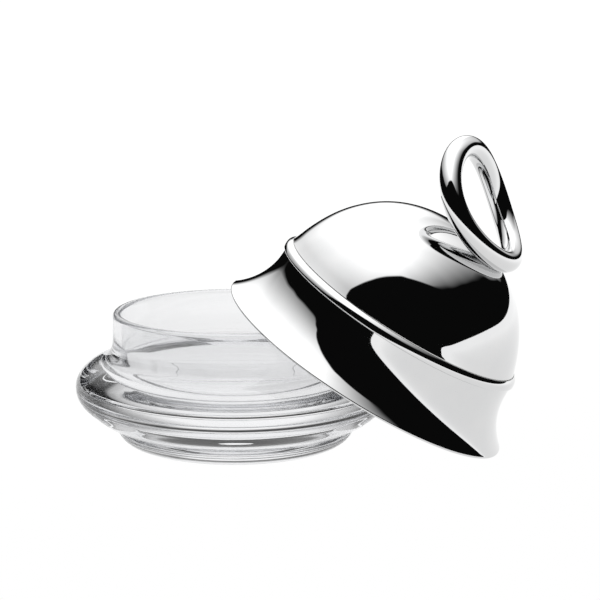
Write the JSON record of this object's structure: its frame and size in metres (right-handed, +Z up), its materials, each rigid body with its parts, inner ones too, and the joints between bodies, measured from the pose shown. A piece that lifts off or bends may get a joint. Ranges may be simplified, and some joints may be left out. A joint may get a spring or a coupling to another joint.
{
  "type": "lidded glass bowl",
  "caption": "Lidded clear glass bowl on a stepped foot, with a polished metal bell lid leaning over its mouth; the lid is lifted by an off-centre ring handle.",
  "frame": {"origin": "centre of the bowl's flat underside, on the table", "axes": "+Z up along the bowl's axis; the lid stands on the +X side and leans towards it; -Y is the front"},
  "size_m": [0.1674, 0.1242, 0.1181],
  "materials": {
    "glass": "clear, fire polished",
    "polished_steel": "mirror polished",
    "plain_steel": "plain turned steel"
  },
  "bodies": {
    "bowl": {"glass_bowl": "glass"},
    "lid": {"lid_collar": "polished_steel", "lid_dome": "polished_steel", "handle_ring": "polished_steel", "handle_washer": "plain_steel", "handle_screw": "plain_steel"}
  },
  "joints": [
    {"name": "lid_lift", "type": "slide", "parent": "bowl", "child": "lid", "axis": [0, 0, 1], "range_m": [0, 0.1]}
  ]
}
